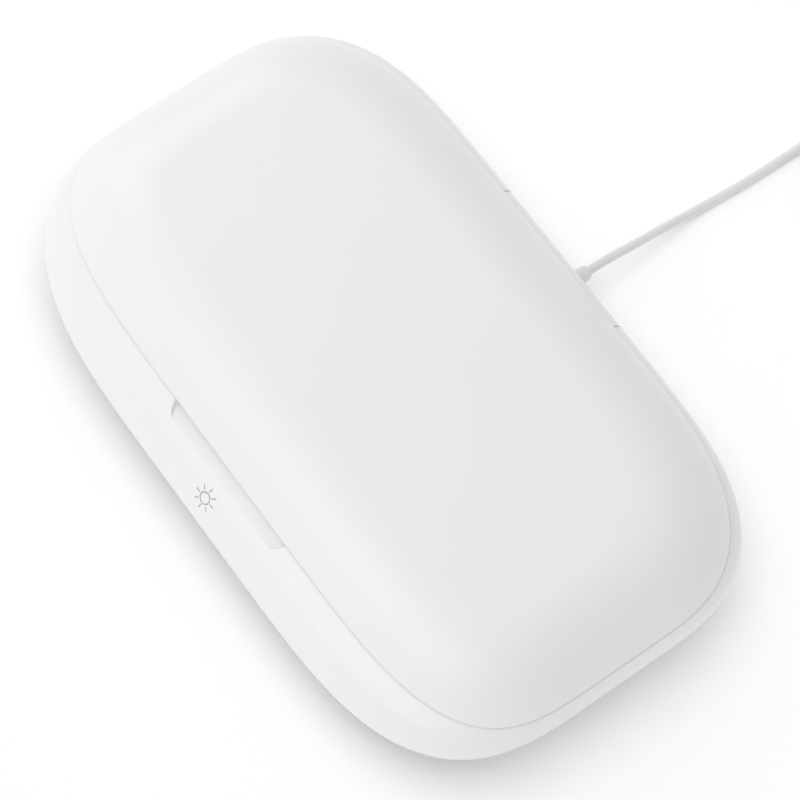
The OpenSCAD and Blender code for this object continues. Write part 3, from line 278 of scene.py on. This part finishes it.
def make_camera():
    right = Vector((math.cos(AZIMUTH), math.sin(AZIMUTH), 0))
    back = Vector((math.sin(AZIMUTH) * math.cos(ELEVATION),
                   -math.cos(AZIMUTH) * math.cos(ELEVATION), math.sin(ELEVATION)))
    up = back.cross(right)
    turn = Matrix((right, up, back)).transposed()
    data = bpy.data.cameras.new("photo_camera")
    data.sensor_width = SENSOR_MM
    data.lens = SENSOR_MM * FOCAL_PX / PHOTO_PX
    data.clip_start, data.clip_end = 0.05, 20
    camera = bpy.data.objects.new("photo_camera", data)
    bpy.context.scene.collection.objects.link(camera)
    camera.matrix_world = (Matrix.Translation((LOOK_FROM - turn @ LOOK_OFFSET) * MM)
                           @ turn.to_4x4())
    bpy.context.scene.camera = camera


make_camera()

# ---------------------------------------------------------------- lead


def cord_route():
    """The CAD route: free run, coil that spirals in and out again, and tail to the plug."""
    start_y = underside_y(EXIT_Z) + RELIEF_L
    run = [Vector((EXIT_X + x, start_y + y, CORD_D / 2 + share * (EXIT_Z - CORD_D / 2) + lift))
           for x, y, share, lift in RUN_SHAPE]
    pitch = CORD_D + TURN_GAP
    radius = MEAN_R + pitch * TURNS / 4
    centre = run[-1] + Vector((radius, CORD_D, 0))
    coil = []
    for i in range(int(TURNS * RINGS_PER_TURN) + 1):
        u = i / RINGS_PER_TURN
        climbed = min(1.0, max(0.0, (u - TURNS / 2 + CLIMB) / (2 * CLIMB)))
        r = radius - pitch * min(u, TURNS - u)
        a = math.pi - 2 * math.pi * u
        coil.append(centre + Vector((r * math.cos(a), r * math.sin(a), pitch * climbed)))
    coil.append(coil[-1] + Vector((CORD_D, 0, 0)))
    tail = [coil[-1] + Vector((x, 0, share * (PLUG_Z - coil[-1].z)))
            for x, share in TAIL_SHAPE[1:]]
    return run + coil + tail


def make_cord(material):
    route = cord_route()
    data = bpy.data.curves.new("lead", "CURVE")
    data.dimensions = "3D"
    data.bevel_depth = CORD_D / 2 * MM
    data.bevel_resolution = 5
    data.resolution_u = 4
    data.use_fill_caps = True
    spline = data.splines.new("BEZIER")
    spline.bezier_points.add(len(route) - 1)
    for point, place_at in zip(spline.bezier_points, route):
        point.co = place_at * MM
        point.handle_left_type = point.handle_right_type = "AUTO"
    lead = bpy.data.objects.new("lead", data)
    bpy.context.scene.collection.objects.link(lead)
    place(lead, "base", "cord_white", material, "cord_run", "cord_coil", "cord_tail")


# ---------------------------------------------------------------- materials


def node_math(tree, operation, *values):
    node = tree.nodes.new("ShaderNodeMath")
    node.operation = operation
    for socket, value in zip(node.inputs, values):
        if isinstance(value, (int, float)):
            socket.default_value = value
        else:
            tree.links.new(value, socket)
    return node.outputs[0]


def new_group(name, inputs, outputs):
    group = bpy.data.node_groups.new(name, "ShaderNodeTree")
    for label, kind, value in inputs:
        socket = group.interface.new_socket(label, in_out="INPUT", socket_type=kind)
        if value is not None:
            socket.default_value = value
    for label, kind in outputs:
        group.interface.new_socket(label, in_out="OUTPUT", socket_type=kind)
    return group, group.nodes.new("NodeGroupInput"), group.nodes.new("NodeGroupOutput")


def fine_variation_group():
    """Slight unevenness of colour, gloss and surface that every real finish has."""
    group, given, result = new_group(
        "Fine variation",
        [("Color", "NodeSocketColor", (0.8, 0.8, 0.8, 1)),
         ("Color spread", "NodeSocketFloat", 0.02),
         ("Roughness", "NodeSocketFloat", 0.3), ("Roughness spread", "NodeSocketFloat", 0.05),
         ("Scale", "NodeSocketFloat", 60.0), ("Bump", "NodeSocketFloat", 0.02),
         ("Bump scale", "NodeSocketFloat", 900.0), ("Edge radius", "NodeSocketFloat", 0.0001)],
        [("Color", "NodeSocketColor"), ("Roughness", "NodeSocketFloat"),
         ("Normal", "NodeSocketVector")])
    link = group.links.new
    where = group.nodes.new("ShaderNodeTexCoord").outputs["Object"]
    broad = group.nodes.new("ShaderNodeTexNoise")
    broad.inputs["Detail"].default_value = 3
    link(where, broad.inputs["Vector"])
    link(given.outputs["Scale"], broad.inputs["Scale"])
    centred = node_math(group, "SUBTRACT", broad.outputs["Fac"], 0.5)
    shade = group.nodes.new("ShaderNodeHueSaturation")
    link(given.outputs["Color"], shade.inputs["Color"])
    link(node_math(group, "MULTIPLY_ADD", centred, given.outputs["Color spread"], 1.0),
         shade.inputs["Value"])
    link(shade.outputs["Color"], result.inputs["Color"])
    link(node_math(group, "MULTIPLY_ADD", centred, given.outputs["Roughness spread"],
                   given.outputs["Roughness"]), result.inputs["Roughness"])
    fine = group.nodes.new("ShaderNodeTexNoise")
    fine.inputs["Detail"].default_value = 2
    link(where, fine.inputs["Vector"])
    link(given.outputs["Bump scale"], fine.inputs["Scale"])
    bump = group.nodes.new("ShaderNodeBump")
    bump.inputs["Distance"].default_value = 0.0001
    link(given.outputs["Bump"], bump.inputs["Strength"])
    link(fine.outputs["Fac"], bump.inputs["Height"])
    edge = group.nodes.new("ShaderNodeBevel")
    edge.samples = 8
    link(given.outputs["Edge radius"], edge.inputs["Radius"])
    link(edge.outputs["Normal"], bump.inputs["Normal"])
    link(bump.outputs["Normal"], result.inputs["Normal"])
    return group


VARIATION = fine_variation_group()


def finish_material(name, color, roughness, spread=0.02, rough_spread=0.05, scale=60.0,
                    bump=0.02, bump_scale=900.0, edge=0.1, **more):
    material = bpy.data.materials.new(name)
    material.use_nodes = True
    tree = material.node_tree
    shader = tree.nodes["Principled BSDF"]
    finish = tree.nodes.new("ShaderNodeGroup")
    finish.node_tree = VARIATION
    finish.inputs["Color"].default_value = (*color, 1)
    finish.inputs["Color spread"].default_value = spread
    finish.inputs["Roughness"].default_value = roughness
    finish.inputs["Roughness spread"].default_value = rough_spread
    finish.inputs["Scale"].default_value = scale
    finish.inputs["Bump"].default_value = bump
    finish.inputs["Bump scale"].default_value = bump_scale
    finish.inputs["Edge radius"].default_value = edge * MM
    tree.links.new(finish.outputs["Color"], shader.inputs["Base Color"])
    tree.links.new(finish.outputs["Roughness"], shader.inputs["Roughness"])
    tree.links.new(finish.outputs["Normal"], shader.inputs["Normal"])
    for socket, value in more.items():
        shader.inputs[socket.replace("_", " ")].default_value = value
    return material


def sun_symbol_group():
    """1 inside a printed sun: a ring with eight rays, in the plane of the touch symbol."""
    group, given, result = new_group(
        "Sun symbol",
        [("Vector", "NodeSocketVector", None), ("Ring radius", "NodeSocketFloat", 1.75),
         ("Line width", "NodeSocketFloat", 0.42), ("Ray start", "NodeSocketFloat", 2.4),
         ("Ray end", "NodeSocketFloat", 3.9)],
        [("Mask", "NodeSocketFloat")])
    link = group.links.new
    parts = group.nodes.new("ShaderNodeSeparateXYZ")
    link(given.outputs["Vector"], parts.inputs[0])
    x, y, depth = parts.outputs
    half = node_math(group, "MULTIPLY", given.outputs["Line width"], 0.5)
    radius = node_math(group, "SQRT", node_math(
        group, "ADD", node_math(group, "MULTIPLY", x, x), node_math(group, "MULTIPLY", y, y)))
    ring = node_math(group, "COMPARE", radius, given.outputs["Ring radius"], half)
    eighth = 2 * math.pi / 8
    share = node_math(group, "DIVIDE", node_math(group, "ARCTAN2", y, x), eighth)
    off = node_math(group, "SUBTRACT", share, node_math(group, "ROUND", share))
    aside = node_math(group, "MULTIPLY", radius,
                      node_math(group, "SINE", node_math(group, "MULTIPLY", off, eighth)))
    on_line = node_math(group, "COMPARE", aside, 0.0, half)
    middle = node_math(group, "MULTIPLY", node_math(
        group, "ADD", given.outputs["Ray start"], given.outputs["Ray end"]), 0.5)
    reach = node_math(group, "MULTIPLY", node_math(
        group, "SUBTRACT", given.outputs["Ray end"], given.outputs["Ray start"]), 0.5)
    ray = node_math(group, "MULTIPLY", on_line,
                    node_math(group, "COMPARE", radius, middle, reach))
    shape = node_math(group, "MAXIMUM", ring, ray)
    near = node_math(group, "COMPARE", depth, 0.0, 3.0)
    link(node_math(group, "MULTIPLY", shape, near), result.inputs["Mask"])
    return group


WHITE, INK_GREY = (0.86, 0.86, 0.865), (0.42, 0.42, 0.43)


def print_symbol(material):
    """Prints the sun on the base shell's front shoulder."""
    tree = material.node_tree
    shader = tree.nodes["Principled BSDF"]
    y = SHOULDER_IN * (1 - math.cos(TOUCH_ANGLE)) - BASE_W / 2
    z = SHOULDER_UP * math.sin(TOUCH_ANGLE) + BELT_FRONT_Z
    slope = math.atan2(SHOULDER_UP * math.cos(TOUCH_ANGLE), SHOULDER_IN * math.sin(TOUCH_ANGLE))
    where = tree.nodes.new("ShaderNodeTexCoord")
    flat = tree.nodes.new("ShaderNodeMapping")
    flat.vector_type = "TEXTURE"
    flat.inputs["Location"].default_value = (0, y * MM, z * MM)
    flat.inputs["Rotation"].default_value = (slope, 0, 0)
    flat.inputs["Scale"].default_value = (MM, MM, MM)
    tree.links.new(where.outputs["Object"], flat.inputs["Vector"])
    sun = tree.nodes.new("ShaderNodeGroup")
    sun.node_tree = sun_symbol_group()
    tree.links.new(flat.outputs["Vector"], sun.inputs["Vector"])
    ink = tree.nodes.new("ShaderNodeMix")
    ink.data_type = "RGBA"
    ink.inputs["B"].default_value = (*INK_GREY, 1)
    plain = shader.inputs["Base Color"].links[0].from_socket
    tree.links.new(sun.outputs["Mask"], ink.inputs["Factor"])
    tree.links.new(plain, ink.inputs["A"])
    tree.links.new(ink.outputs["Result"], shader.inputs["Base Color"])


lid_plastic = finish_material("Satin white shell", WHITE, 0.34, spread=0.01,
                              rough_spread=0.03, bump=0.015, edge=0.3)
base_plastic = finish_material("Satin white shell with print", WHITE, 0.26, spread=0.01,
                               rough_spread=0.03, bump=0.01, edge=0.7)
print_symbol(base_plastic)
MATERIALS = {
    "shell_white": base_plastic,
    "inner_white": finish_material("Satin white plastic", (0.8, 0.8, 0.8), 0.42, bump=0.1),
    "reflector": finish_material("Metallised plastic", (0.82, 0.82, 0.84), 0.16, spread=0.04,
                                 rough_spread=0.1, scale=25, bump=0.05, Metallic=1.0),
    "rubber": finish_material("Grey rubber", (0.5, 0.5, 0.5), 0.75, spread=0.08, bump=0.4),
    "screw_steel": finish_material("Zinc plated steel", (0.55, 0.55, 0.56), 0.35, spread=0.08,
                                   rough_spread=0.15, scale=400, Metallic=1.0),
    "wire_steel": finish_material("Polished stainless steel", (0.66, 0.66, 0.67), 0.14,
                                  spread=0.05, rough_spread=0.08, scale=300, Metallic=1.0),
    "lamp_glass": finish_material("Quartz glass", (0.9, 0.92, 0.97), 0.05, spread=0.01,
                                  rough_spread=0.03, bump=0.01, Transmission_Weight=0.85,
                                  IOR=1.46),
    "lamp_metal": finish_material("Nickel plated caps", (0.62, 0.6, 0.57), 0.25, spread=0.06,
                                  rough_spread=0.1, scale=300, Metallic=1.0),
    "magnet": finish_material("Plated magnet", (0.5, 0.5, 0.51), 0.3, Metallic=1.0),
    "circuit_board": finish_material("Solder mask", (0.03, 0.2, 0.08), 0.35, spread=0.2,
                                     scale=200, bump=0.1),
    "components": finish_material("Component plastic", (0.03, 0.03, 0.033), 0.5, spread=0.2,
                                  scale=200, bump=0.2),
    "copper": finish_material("Copper winding", (0.7, 0.32, 0.17), 0.35, spread=0.15,
                              scale=300, bump=0.2, Metallic=1.0),
    "ferrite": finish_material("Ferrite sheet", (0.05, 0.05, 0.055), 0.55, spread=0.15,
                               scale=300, bump=0.2),
    "cord_white": finish_material("White cable jacket", (0.8, 0.8, 0.81), 0.38, spread=0.02,
                                  scale=150, bump=0.06),
    "wire_insulation": finish_material("Wire insulation", (0.75, 0.75, 0.75), 0.4),
    "tie_grey": finish_material("Hook and loop tie", (0.32, 0.32, 0.33), 0.9, spread=0.3,
                                scale=900, bump=0.8, bump_scale=2500),
    "plug_metal": finish_material("Nickel plated shell", (0.68, 0.68, 0.7), 0.22, spread=0.05,
                                  rough_spread=0.1, scale=300, Metallic=1.0),
}

for part in frame["record"]["subparts"]:
    node = frame["nodes"][part["node"]]
    node.data.materials.clear()
    node.data.materials.append(MATERIALS[part["material_slot"]])

make_cord(MATERIALS["cord_white"])

# ---------------------------------------------------------------- shells


def at_height(points, z):
    return [(x, y, z) for x, y in points]


def make_lid():
    """Closed wall: inner surface, rounded edge at the seam, outer surface."""
    inner = [lid_ring(t, WALL) for t in steps(math.pi / 2, LID_LEAN, 10)]
    edge = [at_height(lid_plan(inset), LID_Z + rise) for inset, rise in LID_EDGE]
    outer = [lid_ring(t, 0) for t in steps(LID_LEAN + LID_EDGE_TURN, math.pi / 2, SHELL_RINGS)]
    lid = loft("lid_skin", inner + edge + outer)
    smooth(lid, 40)
    place(lid, "lid", "shell_white", lid_plastic, "lid_cover")


def slot_outline(grow):
    front, back = SLOT_FRONT + grow, SLOT_REACH - SLOT_SLANT + grow
    return rounded(SLOT_L - 2 * SLOT_SLANT + 2 * grow, front + back, SLOT_CORNER + grow,
                   LID_Y0 + (back - front) / 2)


def slot_solid(name, grow, top):
    """The finger slot's scoop, grown to all sides, up to the height top."""
    floor = [(x, y, SEAM_Z - grow - SLOT_FLOOR - SLOT_FALL * (LID_Y0 - y))
             for x, y in slot_outline(grow)]
    rim = slot_outline(SLOT_SLANT + grow)
    return loft(name, [floor, at_height(rim, SEAM_Z - grow / 2), at_height(rim, top)])


# The underside's rings stop a few degrees short of the belt, whose ring is the shoulder's first.


def base_form(name, inset):
    """Solid inside the base's surface, which the slot's pocket keeps to."""
    rings = [under_ring(p, inset) for p in steps(math.pi / 2, math.radians(4), 20)]
    rings += [shoulder_ring(t, inset) for t in steps(0, SHOULDER_ANGLE, 14)]
    return loft(name, rings)


def make_base():
    """Closed wall with the finger slot, the hinge notch, the cover's opening and the exit."""
    outer = [under_ring(p, 0) for p in steps(math.pi / 2, math.radians(3), SHELL_RINGS)]
    outer += [shoulder_ring(t, 0)
              for t in steps(0, SHOULDER_ANGLE - BASE_EDGE_TURN, SHELL_RINGS)]
    edge = [at_height(lid_plan(inset), SEAM_Z + rise) for inset, rise in BASE_EDGE]
    inner = [at_height(lid_plan(WALL), SEAM_Z)]
    inner += [shoulder_ring(t, WALL) for t in steps(SHOULDER_ANGLE - 0.05, 0, 8)]
    inner += [under_ring(p, WALL) for p in steps(math.radians(6), math.pi / 2, 12)]
    base = loft("base_skin", outer + edge + inner)
    pocket = slot_solid("pocket", SLOT_WALL, DECK_TOP)
    combine(pocket, base_form("form", WALL / 2), "INTERSECT")
    combine(base, pocket, "UNION")
    combine(base, slot_solid("slot", 0, BOX_H), "DIFFERENCE")
    notch_x = HINGE_L / 2 + HINGE_GAP
    combine(base, box_solid("notch", -notch_x, notch_x, BLOCK_Y - OVERCUT, BASE_W,
                            NOTCH_Z, BOX_H), "DIFFERENCE")
    combine(base, prism("opening", rounded(COVER_L + 2 * COVER_GAP, COVER_W + 2 * COVER_GAP,
                                           COVER_R), -OVERCUT, BOTTOM_Z + WALL + EPS),
            "DIFFERENCE")
    combine(base, rod_y("exit", EXIT_X, EXIT_CUT_Y, BASE_W, EXIT_Z,
                        RELIEF_D / 2 + EXIT_PLAY), "DIFFERENCE")
    smooth(base, 30)
    place(base, "base", "shell_white", base_plastic, "base_shell")


def make_hinge_block():
    """Barrel, rear face and bracket in one section, with the gap that the wires pass."""
    barrel = [(PIVOT_Y + BARREL_D / 2 * math.sin(a), PIVOT_Z - BARREL_D / 2 * math.cos(a))
              for a in steps(-math.pi / 2, math.pi / 2, 16)]
    rear = [(rear_y(z), z) for z in steps(PIVOT_Z + 0.3, SEAM_Z, 16)]
    bracket = [(BRACKET_Y, BRACKET_TOP), (BRACKET_Y, FLANGE_TOP), (BLOCK_Y, FLANGE_TOP)]
    section = barrel + rear + [(LID_Y1, LID_Z)] + LID_INSIDE + bracket + [(BLOCK_Y, PIVOT_Z)]
    block = loft("hinge_skin", [[(x, y, z) for y, z in section]
                                for x in (-HINGE_L / 2, HINGE_L / 2)])
    for y0, y1, top in LEAD_GAP_STEPS:
        way = box_solid("lead_way", -LEAD_GAP, LEAD_GAP, y0, y1, NOTCH_Z, top)
        combine(block, way, "DIFFERENCE")
    smooth(block, 30)
    place(block, "lid", "shell_white", lid_plastic, "hinge_block")


make_lid()
make_base()
make_hinge_block()

# ---------------------------------------------------------------- table and light

TABLE_REACH = 3000.0             # the table runs this far to each side
SKY_LEVEL = 0.71                 # light of the sky on the box; the backdrop itself is white
MIDDLE, LAMP_DISTANCE = (0, 0, 20), 900.0              # the point that every lamp faces


def make_floor():
    """White table, which keeps the box's shadow."""
    corners = [(x * TABLE_REACH, y * TABLE_REACH, 0)
               for x, y in [(-1, -1), (1, -1), (1, 1), (-1, 1)]]
    floor = mesh_object("table", corners, [[0, 1, 2, 3]])
    material = bpy.data.materials.new("White table")
    material.use_nodes = True
    tree = material.node_tree
    shader = tree.nodes["Principled BSDF"]
    shader.inputs["Roughness"].default_value = 0.6
    shader.inputs["Base Color"].default_value = (0.9, 0.9, 0.9, 1)
    floor.data.materials.append(material)


def table_group(name, state):
    """Says whether a light falls only on the table, or on everything but the table."""
    group = bpy.data.collections.new(name)
    group.objects.link(bpy.data.objects["table"])
    group.collection_objects[0].light_linking.link_state = state
    return group


def area_light(name, direction, size, power, receivers):
    """Square lamp that faces MIDDLE from direction, with its power in watts."""
    data = bpy.data.lights.new(name, "AREA")
    data.shape = "SQUARE"
    data.size = size * MM
    data.energy = power
    light = bpy.data.objects.new(name, data)
    bpy.context.scene.collection.objects.link(light)
    direction = Vector(direction).normalized()
    light.location = (Vector(MIDDLE) + direction * LAMP_DISTANCE) * MM
    light.rotation_mode = "QUATERNION"
    light.rotation_quaternion = direction.to_track_quat("Z", "Y")
    light.light_linking.receiver_collection = receivers


def make_world():
    """Even sky for the light, and plain white where the camera or a reflection sees it."""
    world = bpy.data.worlds.new("white_studio")
    world.use_nodes = True
    tree = world.node_tree
    sky = tree.nodes["Background"]
    sky.inputs["Color"].default_value = (1, 1, 1, 1)
    sky.inputs["Strength"].default_value = SKY_LEVEL
    backdrop = tree.nodes.new("ShaderNodeBackground")
    backdrop.inputs["Strength"].default_value = 1.0
    light_path = tree.nodes.new("ShaderNodeLightPath")
    seen = tree.nodes.new("ShaderNodeMixShader")
    direct = node_math(tree, "ADD", light_path.outputs["Is Camera Ray"], node_math(
        tree, "ADD", light_path.outputs["Is Glossy Ray"],
        light_path.outputs["Is Transmission Ray"]))
    tree.links.new(node_math(tree, "MINIMUM", direct, 1.0), seen.inputs["Fac"])
    tree.links.new(sky.outputs[0], seen.inputs[1])
    tree.links.new(backdrop.outputs[0], seen.inputs[2])
    tree.links.new(seen.outputs[0], tree.nodes["World Output"].inputs["Surface"])
    bpy.context.scene.world = world


make_floor()
make_world()
on_box = table_group("everything_but_the_table", "EXCLUDE")
on_table = table_group("only_the_table", "INCLUDE")
area_light("front_light", (0, -1, 0.8), 700, 1.75, on_box)
area_light("left_light", (-1, 0, 0.8), 700, 1.9, on_box)
area_light("table_top_light", (0, 0, 1), 900, 3.76, on_table)
area_light("table_left_light", (-1, 0, 0.8), 700, 0.53, on_table)
area_light("table_back_left_light", (-0.7, 0.7, 0.8), 700, 0.42, on_table)

bpy.context.scene.view_settings.view_transform = "Standard"
